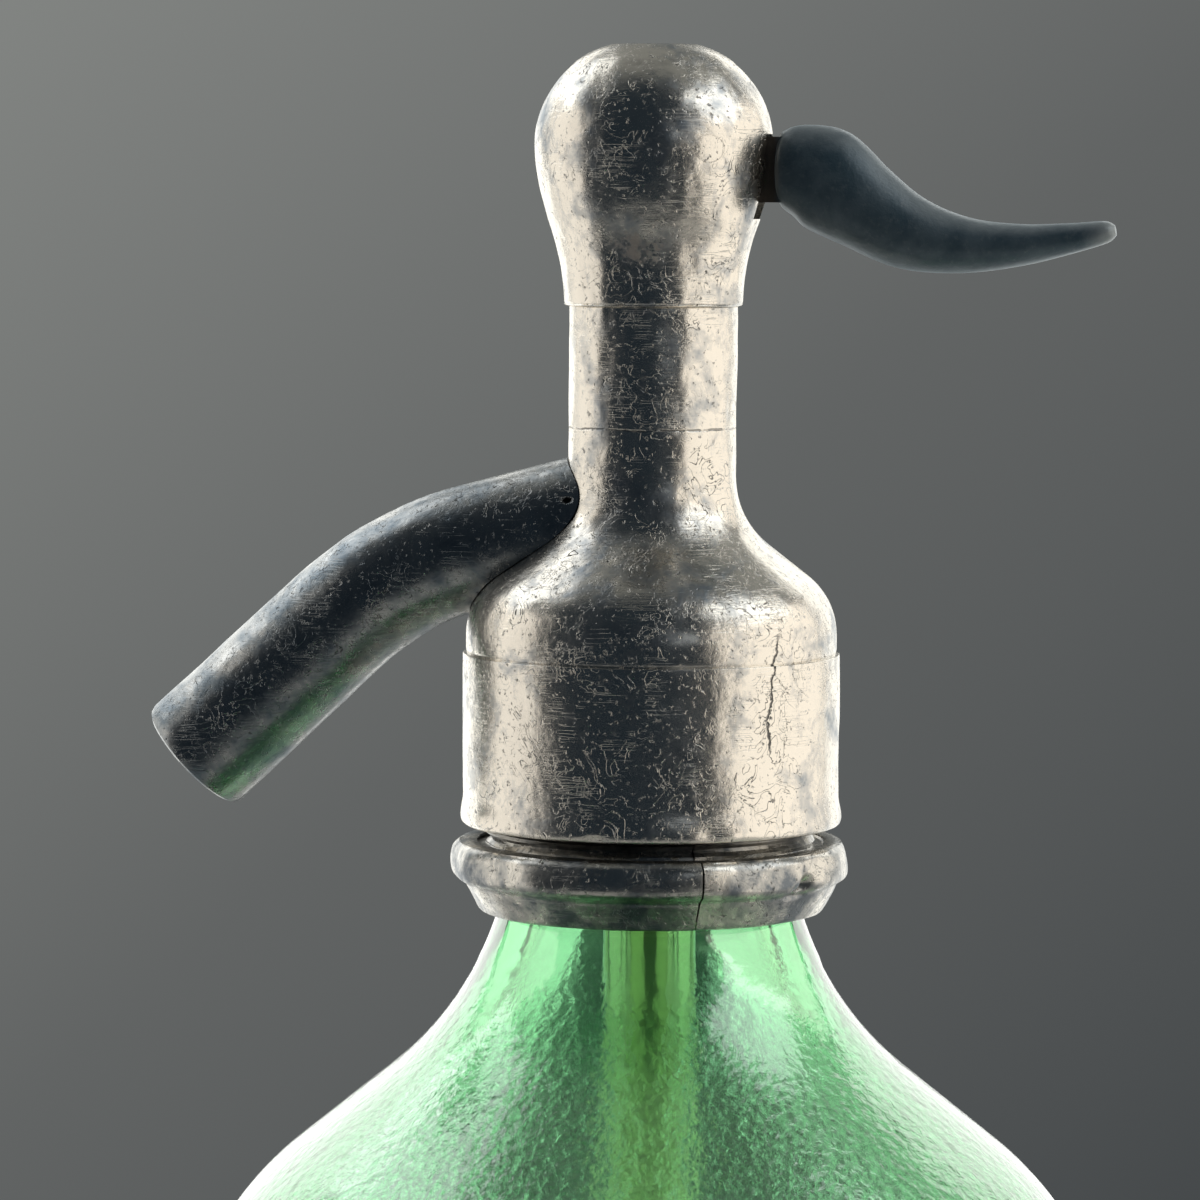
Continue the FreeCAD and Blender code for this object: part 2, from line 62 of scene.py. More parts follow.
NECK_RADIUS = 15.8
FLARE_BEND = 38.0
BEAD_DEPTH = 7.2
SLOT_HALF = 2.7
TONGUE_HALF = 2.4


def node_low(node):
    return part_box(node)[0] / MM


def node_high(node):
    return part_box(node)[1] / MM


COLLAR_Z = node_low("collar_half_left").z
COLLAR_TOP = node_high("collar_half_left").z
SKIRT_Z = node_low("head_body").z
HEAD_TOP = node_high("head_body").z
BULB_Z = node_low("lever_housing").z
BULB_TOP = node_high("lever_housing").z
LIP_Z = node_high("glass_bottle").z
BOTTLE_RADIUS = node_high("glass_bottle").x
LEDGE_Z = node_high("neck_gasket").z
PIN = (node_low("pivot_pin") + node_high("pivot_pin")) / 2


# Meshes


def arc(centre, radius, start, end, steps):
    """Points on an arc in the plane of radius and height, its angles in degrees."""
    points = []
    for i in range(steps + 1):
        turn = math.radians(start + (end - start) * i / steps)
        points.append((centre[0] + radius * math.cos(turn), centre[1] + radius * math.sin(turn)))
    return points


def rounded(points, closed=True):
    """An outline whose points may hold a third value, how far from them the corner is rounded."""
    count = len(points)
    done = []
    for i, point in enumerate(points):
        here = Vector(point[:2])
        if len(point) < 3 or (not closed and i in (0, count - 1)):
            done.append(tuple(here))
            continue
        before = Vector(points[i - 1][:2]) - here
        after = Vector(points[(i + 1) % count][:2]) - here
        cut = min(point[2], before.length * 0.48, after.length * 0.48)
        first = here + before.normalized() * cut
        last = here + after.normalized() * cut
        for t in (0, 0.25, 0.5, 0.75, 1):
            done.append(tuple(first * (1 - t) ** 2 + here * 2 * t * (1 - t) + last * t * t))
    return done


def spaced(points, step):
    """The same closed outline with its long runs divided, so that a warp shows on them."""
    done = []
    for i, point in enumerate(points):
        done.append(point)
        end = points[(i + 1) % len(points)]
        parts = max(1, round(math.dist(point, end) / step))
        for k in range(1, parts):
            t = k / parts
            done.append((point[0] + (end[0] - point[0]) * t, point[1] + (end[1] - point[1]) * t))
    return done


def new_piece(name, verts, faces):
    """A mesh object from corners in millimetres and faces."""
    mesh = bpy.data.meshes.new(name)
    mesh.from_pydata([Vector(v) * MM for v in verts], [], faces)
    piece = bpy.data.objects.new(name, mesh)
    bpy.context.scene.collection.objects.link(piece)
    tidy_mesh(piece)
    return piece


def tidy_mesh(piece):
    """Joins doubled points, turns faces outwards and smooths all but the sharp edges."""
    shape = bmesh.new()
    shape.from_mesh(piece.data)
    bmesh.ops.remove_doubles(shape, verts=shape.verts, dist=2e-7)
    bmesh.ops.dissolve_degenerate(shape, edges=shape.edges, dist=1e-8)
    bmesh.ops.recalc_face_normals(shape, faces=shape.faces)
    for face in shape.faces:
        face.smooth = True
    for edge in shape.edges:
        edge.smooth = len(edge.link_faces) == 2 and edge.calc_face_angle(0) < SHARP_ANGLE
    shape.to_mesh(piece.data)
    shape.free()


def lathe(name, outline, start=0.0, sweep=2 * math.pi, sides=SIDES, warp=None):
    """A closed outline turned about the axis, all the way or over a part of a turn with flat ends."""
    whole = abs(sweep - 2 * math.pi) < 1e-6
    steps = sides if whole else max(8, round(sides * sweep / (2 * math.pi)))
    columns = steps if whole else steps + 1
    count = len(outline)
    verts = []
    for i in range(columns):
        turn = start + sweep * i / steps
        for r, z in outline:
            if warp:
                r, z = warp(r, z, turn)
            verts.append((r * math.cos(turn), r * math.sin(turn), z))
    faces = []
    for i in range(steps):
        a, b = i * count, ((i + 1) % columns) * count
        for k in range(count):
            n = (k + 1) % count
            faces.append((a + k, a + n, b + n, b + k))
    if not whole:
        faces.append(tuple(range(count)))
        faces.append(tuple(range((columns - 1) * count, columns * count)))
    return new_piece(name, verts, faces)


def rings_piece(name, rings, closed):
    """Rings of points joined in order, the last to the first if closed, or else both capped."""
    count = len(rings[0])
    verts = [point for ring in rings for point in ring]
    faces = []
    for i in range(len(rings) if closed else len(rings) - 1):
        a, b = i * count, ((i + 1) % len(rings)) * count
        for k in range(count):
            n = (k + 1) % count
            faces.append((a + k, a + n, b + n, b + k))
    if not closed:
        faces.append(tuple(range(count)))
        faces.append(tuple(range((len(rings) - 1) * count, len(rings) * count)))
    return new_piece(name, verts, faces)


def box_piece(name, low, high):
    """A box between two corners."""
    xs, ys, zs = zip(low, high)
    verts = [(x, y, z) for x in xs for y in ys for z in zs]
    faces = [(0, 1, 3, 2), (4, 6, 7, 5), (0, 4, 5, 1), (2, 3, 7, 6), (0, 2, 6, 4), (1, 5, 7, 3)]
    return new_piece(name, verts, faces)


def bar_piece(name, start, end, radius, sides=48):
    """A round bar between two points."""
    start, end = Vector(start), Vector(end)
    way = (end - start).normalized()
    side = way.orthogonal().normalized()
    other = way.cross(side)
    turns = [2 * math.pi * i / sides for i in range(sides)]
    rings = []
    for centre in (start, end):
        rings.append([centre + (side * math.cos(t) + other * math.sin(t)) * radius for t in turns])
    return rings_piece(name, rings, False)


def carve(piece, tool, operation="DIFFERENCE"):
    """Cuts a tool from a piece, joins it on or keeps what they share, and drops the tool."""
    cut = piece.modifiers.new("cut", "BOOLEAN")
    cut.operation = operation
    cut.solver = "EXACT"
    cut.object = tool
    graph = bpy.context.evaluated_depsgraph_get()
    graph.update()
    mesh = bpy.data.meshes.new_from_object(piece.evaluated_get(graph))
    piece.modifiers.remove(cut)
    old = piece.data
    piece.data = mesh
    bpy.data.meshes.remove(old)
    drop(tool)
    tidy_mesh(piece)
    return piece


def drop(piece):
    mesh = piece.data
    bpy.data.objects.remove(piece)
    bpy.data.meshes.remove(mesh)


def settle(piece, body, material, node):
    """Rides the piece on its body in place of its CAD node."""
    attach(piece, body)
    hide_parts(node)
    piece.data.materials.clear()
    piece.data.materials.append(material)
    return piece


# Materials


class Nodes:
    """A node tree built by short calls that each return an output."""

    def __init__(self, tree):
        self.tree = tree

    def add(self, kind, links=(), **settings):
        node = self.tree.nodes.new(kind)
        for key, value in settings.items():
            setattr(node, key, value)
        for key, value in dict(links).items():
            self.join(value, node.inputs[key])
        return node

    def join(self, value, socket):
        if hasattr(value, "is_linked"):
            self.tree.links.new(value, socket)
        else:
            socket.default_value = value

    def ramp(self, value, *stops):
        """A colour ramp with stops of (place, grey or colour)."""
        node = self.add("ShaderNodeValToRGB", {"Fac": value})
        bar = node.color_ramp.elements
        while len(bar) < len(stops):
            bar.new(0.5)
        for element, (place, colour) in zip(bar, stops):
            element.position = place
            grey = isinstance(colour, (int, float))
            element.color = (colour, colour, colour, 1) if grey else (*colour, 1)
        return node.outputs["Color"]

    def calc(self, operation, a, b=0.5, c=0.5):
        return self.add("ShaderNodeMath", {0: a, 1: b, 2: c}, operation=operation).outputs[0]

    def mix(self, factor, a, b):
        node = self.add("ShaderNodeMix", data_type="RGBA")
        self.join(factor, node.inputs["Factor"])
        for key, value in ((6, a), (7, b)):
            self.join((*value, 1) if isinstance(value, tuple) else value, node.inputs[key])
        return node.outputs[2]

    def blend(self, factor, a, b):
        """A number between two, by a factor."""
        node = self.add("ShaderNodeMix", data_type="FLOAT")
        for key, value in ((0, factor), (2, a), (3, b)):
            self.join(value, node.inputs[key])
        return node.outputs[0]


class Shader(Nodes):
    """A material with a principled shader, with noise and relief sized in millimetres."""

    def __init__(self, name):
        self.material = bpy.data.materials.new(name)
        self.material.use_nodes = True
        super().__init__(self.material.node_tree)
        self.surface = self.tree.nodes["Principled BSDF"]
        self.place = self.add("ShaderNodeTexCoord").outputs["Object"]

    def set(self, **values):
        for key, value in values.items():
            self.join(value, self.surface.inputs[key.replace("_", " ")])

    def absorb(self, colour, density):
        """Tints the light that passes through, by a colour and a density for each metre."""
        body = self.add("ShaderNodeVolumeAbsorption", {"Color": (*colour, 1), "Density": density})
        self.join(body.outputs[0], self.tree.nodes["Material Output"].inputs["Volume"])

    def stretched(self, x, y, z):
        """The place in millimetres, drawn out by a factor along each axis."""
        scale = (1 / MM / x, 1 / MM / y, 1 / MM / z)
        return self.add("ShaderNodeMapping", {"Vector": self.place, "Scale": scale}).outputs[0]

    def noise(self, size, detail=4.0, rough=0.6, stretch=(1, 1, 1), distortion=0.0, offset=0.0):
        """Noise with lumps of about a size in millimetres."""
        place = self.stretched(*[size * s for s in stretch])
        if offset:
            shift = (offset, offset * 1.7, offset * 0.6)
            place = self.add("ShaderNodeMapping", {"Vector": place, "Location": shift}).outputs[0]
        links = {"Vector": place, "Scale": 1.0, "Detail": detail, "Roughness": rough}
        links["Distortion"] = distortion
        return self.add("ShaderNodeTexNoise", links).outputs["Fac"]

    def hairlines(self, size, width, stretch=(1, 1, 1), offset=0.0, distortion=0.3):
        """Thin wandering lines: 1 on a line and 0 between them."""
        lumps = self.noise(size, 2.0, 0.5, stretch, distortion, offset)
        off = self.calc("ABSOLUTE", self.calc("SUBTRACT", lumps, 0.5))
        return self.ramp(off, (0.0, 1.0), (width, 0.0))

    def bump(self, height, distance, strength=1.0, normal=None):
        links = {"Height": height, "Distance": distance * MM, "Strength": strength}
        if normal is not None:
            links["Normal"] = normal
        return self.add("ShaderNodeBump", links).outputs[0]


def curled_scuffs(s):
    """Thin bright curls, in places."""
    curls = s.hairlines(1.5, 0.022, offset=7.0, distortion=1.6)
    where = s.ramp(s.noise(4.0, 3.0, offset=11.0), (0.52, 0.0), (0.68, 0.6))
    return s.calc("MULTIPLY", curls, where)


def level_scratches(s):
    """Fine scratches round the turned surfaces, in places."""
    level = s.hairlines(1.0, 0.03, (8, 8, 0.45), 9.0, 0.1)
    where = s.ramp(s.noise(5.0, 2.0, offset=2.0), (0.48, 0.0), (0.62, 1.0))
    return s.calc("MULTIPLY", level, where)


def cracks_and_pits(s):
    """Short dark cracks, in places, and small casting pits."""
    cracks = s.hairlines(3.4, 0.010, offset=17.0, distortion=2.2)
    where = s.ramp(s.noise(6.0, 2.0, offset=21.0), (0.50, 0.0), (0.60, 1.0))
    pits = s.ramp(s.noise(0.6, 3.0, 0.6, offset=4.0), (0.27, 1.0), (0.38, 0.0))
    return s.calc("MAXIMUM", s.calc("MULTIPLY", cracks, where), s.calc("MULTIPLY", pits, 0.7))


def pewter_relief(s, mottle, curls, flaws, level):
    """Lumps of three sizes, with the scuffs, flaws and scratches sunk into them."""
    relief = s.bump(s.noise(3.4, 3.0, 0.5, offset=1.0), 0.11)
    relief = s.bump(mottle, 0.035, 0.9, relief)
    relief = s.bump(s.noise(0.45, 3.0, 0.6, offset=6.0), 0.010, 0.8, relief)
    relief = s.bump(s.calc("MULTIPLY", curls, -1.0), 0.03, 1.0, relief)
    relief = s.bump(s.calc("MULTIPLY", flaws, -1.0), 0.07, 1.0, relief)
    return s.bump(s.calc("MULTIPLY", level, -1.0), 0.02, 0.8, relief)


def pewter(name, clean, tarnish, tarnish_from=0.50, tarnish_to=0.66, finish=None):
    """Old tin alloy: a pale skin, dark tarnish in patches, curled scuffs, pits and fine scratches."""
    s = Shader(name)
    patches = s.noise(7.0, 6.0, 0.62, distortion=0.5)
    mottle = s.noise(1.5, 5.0, 0.65, offset=3.0)
    amount = s.calc("ADD", s.calc("MULTIPLY", patches, 0.75), s.calc("MULTIPLY", mottle, 0.25))
    dark = s.ramp(amount, (tarnish_from, 0.0), (tarnish_to, 1.0))
    curls = curled_scuffs(s)
    level = level_scratches(s)
    flaws = cracks_and_pits(s)
    colour = s.mix(dark, clean, tarnish)
    colour = s.mix(s.calc("MULTIPLY", curls, 0.55), colour, clean)
    colour = s.mix(s.calc("MULTIPLY", level, 0.35), colour, clean)
    colour = s.mix(s.calc("MULTIPLY", flaws, 0.85), colour, tuple(c * 0.15 for c in tarnish))
    uneven = s.calc("MULTIPLY", s.calc("SUBTRACT", mottle, 0.5), 0.14)
    rough = s.calc("ADD", s.blend(dark, 0.24, 0.35), uneven)
    rough = s.calc("MAXIMUM", rough, s.calc("MULTIPLY", curls, 0.5))
    relief = pewter_relief(s, mottle, curls, flaws, level)
    s.set(Base_Color=colour, Metallic=1.0, Roughness=rough, Normal=relief)
    if finish:
        finish(s, colour, rough, relief)
    return s.material


def spot(s, place, wide, high, fray=0.5):
    """1 in a frayed oval patch round a place in millimetres and 0 outside it."""
    shift = tuple(-c / n for c, n in zip(place, (wide, wide, high)))
    size = s.stretched(wide, wide, high)
    near = s.add("ShaderNodeMapping", {"Vector": size, "Location": shift}).outputs[0]
    reach = s.add("ShaderNodeVectorMath", {0: near}, operation="LENGTH").outputs["Value"]
    lumps = s.calc("SUBTRACT", s.noise(1.3, 4.0, 0.7, offset=13.0), 0.5)
    ragged = s.calc("MULTIPLY_ADD", lumps, fray * 4, 0.5)
    return s.ramp(s.calc("MULTIPLY", s.calc("ADD", reach, ragged), 0.5), (0.42, 1.0), (0.54, 0.0))


def scuffed(s, colour, rough, relief, patch, pale):
    """Turns a patch matt and pale, so that it catches the side light."""
    s.set(Base_Color=s.mix(s.calc("MULTIPLY", patch, 0.8), colour, pale))
    s.set(Roughness=s.blend(patch, rough, 0.62), Metallic=s.blend(patch, 1.0, 0.55), Normal=relief)


def bulb_finish(s, colour, rough, relief):
    """The worn beige patch low on the front of the bulb."""
    patch = spot(s, (-0.2, -12.3, BULB_Z + 6.6), 5.0, 3.4)
    scuffed(s, colour, rough, relief, patch, (0.50, 0.44, 0.39))


def turned_line(s, height):
    """A worn line turned round the column."""
    waver = s.calc("MULTIPLY", s.noise(3.0, 2.0, offset=5.0), 0.5)
    off = s.calc("ABSOLUTE", s.calc("SUBTRACT", s.calc("ADD", height, waver), LEDGE_Z + 33.4))
    whole = s.ramp(s.noise(2.2, 2.0), (0.40, 0.0), (0.50, 1.0))
    return s.calc("MULTIPLY", s.ramp(off, (0.04, 1.0), (0.16, 0.0)), whole)


def long_crack(s, x, y, height):
    """A ragged, bowed crack up the skirt's front on the lever's side."""
    low_end = LEDGE_Z - 3.0
    length = 14.0
    turn = s.calc("MULTIPLY", s.calc("ARCTAN2", y, x), 180 / math.pi)
    share = s.calc("DIVIDE", s.calc("SUBTRACT", height, low_end), length)
    bow = s.calc("MULTIPLY", s.calc("POWER", s.calc("SUBTRACT", share, 0.25), 2.0), 9.0)
    lumps = s.calc("SUBTRACT", s.noise(1.6, 4.0, 0.7, offset=8.0), 0.5)
    ragged = s.calc("MULTIPLY", lumps, 5.0)
    path = s.calc("SUBTRACT", turn, s.calc("SUBTRACT", bow, 43.0))
    aside = s.calc("ABSOLUTE", s.calc("ADD", path, ragged))
    inside = s.ramp(s.calc("ABSOLUTE", s.calc("SUBTRACT", share, 0.5)), (0.40, 1.0), (0.50, 0.0))
    return s.calc("MULTIPLY", s.ramp(aside, (0.12, 1.0), (0.55, 0.0)), inside)


def head_finish(s, colour, rough, relief):
    """A turned line on the column, and a long crack over the seam on the lever's side."""
    x, y, z = s.add("ShaderNodeSeparateXYZ", {0: s.place}).outputs
    height = s.calc("MULTIPLY", z, 1 / MM)
    line = s.calc("MULTIPLY", turned_line(s, height), 0.6)
    flaw = s.calc("MAXIMUM", line, long_crack(s, x, y, height))
    s.set(Base_Color=s.mix(s.calc("MULTIPLY", flaw, 0.9), colour, (0.03, 0.03, 0.035)))
    s.set(Normal=s.bump(s.calc("MULTIPLY", flaw, -1.0), 0.12, 1.0, relief))


def spout_finish(s, colour, rough, relief):
    """A blow hole in the casting near the joint, on the front."""
    hole = spot(s, (-8.6, -6.7, LEDGE_Z + 25.0), 1.3, 0.8, 0.25)
    s.set(Base_Color=s.mix(hole, colour, (0.012, 0.012, 0.014)))
    s.set(Normal=s.bump(s.calc("MULTIPLY", hole, -1.0), 0.35, 1.0, relief))


def collar_gap_shading(s, colour, rough, relief):
    """Painted shade: the neck in the gap above the flange, under the skirt, painted near black and made
    rougher.
    """
    x, y, z = s.add("ShaderNodeSeparateXYZ", {0: s.place}).outputs
    reach = s.calc("SQRT", s.calc("ADD", s.calc("MULTIPLY", x, x), s.calc("MULTIPLY", y, y)))
    above = s.ramp(z, ((COLLAR_Z + 8.0) * MM, 0.0), ((COLLAR_Z + 8.6) * MM, 1.0))
    within = s.ramp(s.calc("MULTIPLY", reach, 10.0), (0.196, 1.0), (0.206, 0.0))
    shade_in_gap = s.calc("MULTIPLY", within, above)
    # painted shade: the shadow in the gap under the skirt is painted into the neck's colour
    s.set(Base_Color=s.mix(s.calc("MULTIPLY", shade_in_gap, 0.85), colour, (0.03, 0.03, 0.03)))
    s.set(Roughness=s.calc("MAXIMUM", rough, s.calc("MULTIPLY", shade_in_gap, 0.5)))


def dark_lever():
    """Lever with a blue black skin, a dusty bloom, a painted highlight on its upward-facing surfaces
    broken into wear patches, and a bare tip.
    """
    s = Shader("dark_lever")
    patches = s.noise(5.0, 5.0, 0.6, distortion=0.3)
    specks = s.ramp(s.noise(0.7, 4.0, 0.7, offset=3.0), (0.54, 0.0), (0.68, 1.0))
    along = s.calc("MULTIPLY", s.add("ShaderNodeSeparateXYZ", {0: s.place}).outputs["X"], 10.0)
    facing = s.add("ShaderNodeTexCoord").outputs["Normal"]
    upward = s.add("ShaderNodeSeparateXYZ", {0: facing}).outputs["Z"]
    worn = s.ramp(patches, (0.30, 0.35), (0.62, 1.0))
    # painted highlight: surfaces that face up are painted pale, as if lit from above, in patches like
    # wear
    edge = s.calc("MULTIPLY", s.ramp(upward, (0.45, 0.0), (0.95, 1.0)), worn)
    tip = s.ramp(along, (0.490, 0.0), (0.520, 1.0))
    neck = s.ramp(along, (0.142, 1.0), (0.150, 0.0))
    bloom = s.ramp(patches, (0.35, 0.0), (0.7, 1.0))
    skin = s.mix(bloom, (0.050, 0.088, 0.115), (0.130, 0.175, 0.205))
    bare = s.mix(s.noise(1.5, 3.0), (0.42, 0.45, 0.45), (0.22, 0.25, 0.26))
    rust = s.mix(s.noise(1.2, 3.0, offset=5.0), (0.055, 0.040, 0.028), (0.11, 0.09, 0.07))
    colour = s.mix(s.calc("MULTIPLY", specks, 0.16), skin, bare)
    # the painted top highlight, mixed towards the bare metal colour
    colour = s.mix(s.calc("MULTIPLY", edge, 0.60), colour, bare)
    colour = s.mix(s.calc("MULTIPLY", tip, 0.85), colour, bare)
    colour = s.mix(neck, colour, rust)
    relief = s.bump(s.noise(2.4, 4.0, 0.6, offset=1.0), 0.10)
    relief = s.bump(s.noise(0.5, 3.0, 0.6, offset=2.0), 0.03, 0.8, relief)
    s.set(Base_Color=colour, Metallic=0.15, Roughness=s.blend(patches, 0.30, 0.50), Normal=relief)
    s.set(Sheen_Weight=0.6, Sheen_Roughness=0.35, Sheen_Tint=(0.70, 0.82, 0.90, 1))
    return s.material


def green_glass():
    """Thick green glass, smooth at the neck and pebbled from the shoulder down."""
    s = Shader("green_glass")
    height = s.add("ShaderNodeSeparateXYZ", {0: s.place}).outputs["Z"]
    wander = s.calc("MULTIPLY", s.noise(9.0, 3.0, offset=15.0), 0.05)
    low = s.ramp(s.calc("ADD", s.calc("MULTIPLY", height, 4.0), wander), (0.815, 1.0), (0.880, 0.0))
    links = {"Vector": s.stretched(1.5, 1.5, 1.5), "Scale": 1.0, "Smoothness": 0.25}
    pebbles = s.add("ShaderNodeTexVoronoi", links, feature="SMOOTH_F1")
    lumps = s.calc("MULTIPLY", pebbles.outputs["Distance"], 0.6)
    grain = s.calc("MULTIPLY", s.noise(1.0, 3.0, 0.55, distortion=0.8), 0.8)
    cells = s.calc("ADD", lumps, grain)
    relief = s.bump(s.calc("MULTIPLY", cells, low), 0.12, 1.0)
    relief = s.bump(s.noise(14.0, 2.0, offset=6.0), 0.20, 0.4, relief)
    s.set(Base_Color=(0.93, 1.0, 0.94, 1), Transmission_Weight=1.0)
    s.set(Roughness=0.02, IOR=1.5, Normal=relief)
    s.set(Coat_Weight=1.0, Coat_Roughness=0.06, Coat_IOR=1.9, Coat_Normal=relief)
    s.absorb((0.17, 0.82, 0.35), 112.0)
    return s.material


def tube_glass():
    """Clear glass with a yellow green tint and a few drawn streaks."""
    s = Shader("tube_glass")
    streaks = s.noise(1.5, 3.0, 0.5, (1, 1, 30))
    s.set(Base_Color=(0.95, 0.98, 0.66, 1), Roughness=0.08, IOR=1.5, Transmission_Weight=0.78)
    s.set(Normal=s.bump(streaks, 0.12, 0.5))
    s.absorb((0.90, 0.93, 0.50), 15.0)
    return s.material


def turned_metal(name, colour, dull):
    """Hidden turned metal with fine rings and a dull film."""
    s = Shader(name)
    film = s.noise(4.0, 4.0, 0.6)
    rings = s.noise(0.4, 2.0, 0.5, (20, 20, 1))
    s.set(Base_Color=s.mix(film, colour, dull), Metallic=1.0, Roughness=s.blend(film, 0.25, 0.45))
    s.set(Normal=s.bump(rings, 0.02, 0.6))
    return s.material


def rubber():
    """Dull black rubber with a grey bloom."""
    s = Shader("rubber")
    bloom = s.noise(3.0, 4.0, 0.6)
    s.set(Base_Color=s.mix(bloom, (0.012, 0.012, 0.012), (0.035, 0.033, 0.030)), Roughness=0.75)
    s.set(Normal=s.bump(s.noise(0.5, 3.0), 0.03, 0.6))
    return s.material


PEWTER_SKIN = (0.80, 0.75, 0.67)
PEWTER_TARNISH = (0.31, 0.34, 0.37)
PEWTER = pewter("pewter", PEWTER_SKIN, PEWTER_TARNISH)
BULB_PEWTER = pewter("bulb_pewter", PEWTER_SKIN, PEWTER_TARNISH, 0.49, 0.64, bulb_finish)
HEAD_PEWTER = pewter("head_pewter", PEWTER_SKIN, PEWTER_TARNISH, 0.50, 0.66, head_finish)
SPOUT_SKIN = (0.48, 0.48, 0.465)
SPOUT_TARNISH = (0.185, 0.22, 0.25)
SPOUT_PEWTER = pewter("spout_pewter", SPOUT_SKIN, SPOUT_TARNISH, 0.40, 0.60, spout_finish)
COLLAR_SKIN = (0.68, 0.65, 0.59)
COLLAR_TARNISH = (0.16, 0.18, 0.20)
COLLAR_PEWTER = pewter("collar_pewter", COLLAR_SKIN, COLLAR_TARNISH, 0.43, 0.60, collar_gap_shading)
LEVER_SKIN = dark_lever()
GLASS = green_glass()
TUBE = tube_glass()
BRASS = turned_metal("brass", (0.62, 0.46, 0.20), (0.30, 0.24, 0.13))
STEEL = turned_metal("steel", (0.45, 0.44, 0.42), (0.25, 0.25, 0.25))
RUBBER = rubber()


# Pieces


def dent(turn, z, at_turn, at_z, wide, high, deep):
    """How deep a round dent is at a place, its angle in degrees."""
    off = math.degrees(math.remainder(turn - math.radians(at_turn), 2 * math.pi)) / wide
    return deep * math.exp(-(off * off + ((z - at_z) / high) ** 2))


def waviness(turn, z, size, deep, seed=0.0):
    """Gentle hand finish error of a turned surface."""
    place = Vector((math.cos(turn) * 20, math.sin(turn) * 20, z)) / size
    return deep * (noise.noise(place + Vector((seed, seed, seed))) - 0.5)


def glass_bottle():
    """Bottle: foot ring and punt, straight wall, round shoulder, flared neck and bead."""
    outer, neck, flare_bend, bead_z = BOTTLE_RADIUS, NECK_RADIUS, FLARE_BEND, LIP_Z - BEAD_DEPTH
    wall = 5.2
    shoulder_z = 159.0
    shoulder_bend = 38.0
    slope = 51.0
    bead = 17.45
    heel = 9.0
    inner_heel = 11.0
    foot_inner = 31.0
    punt = 6.0
    floor = 7.5
    sin, cos = math.sin(math.radians(slope)), math.cos(math.radians(slope))
    shoulder = (outer - shoulder_bend, shoulder_z)
    straight = (outer - shoulder_bend * (1 - cos) - neck - flare_bend * (1 - cos)) * cos / sin
    flare_z = shoulder_z + shoulder_bend * sin + straight + flare_bend * sin
    flare = (neck + flare_bend, flare_z)
    punt_bend = (foot_inner**2 + punt**2) / (2 * punt)
    half = math.degrees(math.asin(foot_inner / punt_bend))
    outside = arc((0, punt - punt_bend), punt_bend, 90, 90 - half, 8)
    outside += arc((outer - heel, heel), heel, -90, 0, 10)
    outside += arc(shoulder, shoulder_bend, 0, slope, 24)
    outside += arc(flare, flare_bend, 180 + slope, 180, 24)
    outside += [(neck, bead_z, 0.3), (bead, bead_z, 0.4)]
    outside += [(bead, LIP_Z, 0.9), (neck - wall, LIP_Z, 0.9)]
    inside = arc(flare, flare_bend + wall, 180, 180 + slope, 24)
    inside += arc(shoulder, shoulder_bend - wall, slope, 0, 24)
    inside += arc((outer - wall - inner_heel, floor + inner_heel), inner_heel, 0, -90, 8)
    inside += [(foot_inner, floor, 6), (0, floor + punt)]
    outline = spaced(rounded(outside + inside), 4.0)

    def warp(r, z, turn):
        return r - abs(waviness(turn, z, 26, 0.25)) * (r > 20), z

    return lathe("bottle", outline, sides=192, warp=warp)


def dip_tube():
    """Thick walled tube from above the floor up into its holder, its ends fire rounded."""
    low, high, radius = node_low("dip_tube").z, node_high("dip_tube").z, node_high("dip_tube").x
    outline = [(radius, low, 1.2), (radius, high, 0.5), (TUBE_BORE, high, 0.5), (TUBE_BORE, low, 1.2)]
    return lathe("tube", spaced(rounded(outline), 6.0), sides=96)


def thread(z, turn, pitch, deep):
    """A round thread's depth at a height and angle."""
    phase = (z / pitch - turn / (2 * math.pi)) % 1
    return deep * (0.5 + 0.5 * math.cos(2 * math.pi * phase))


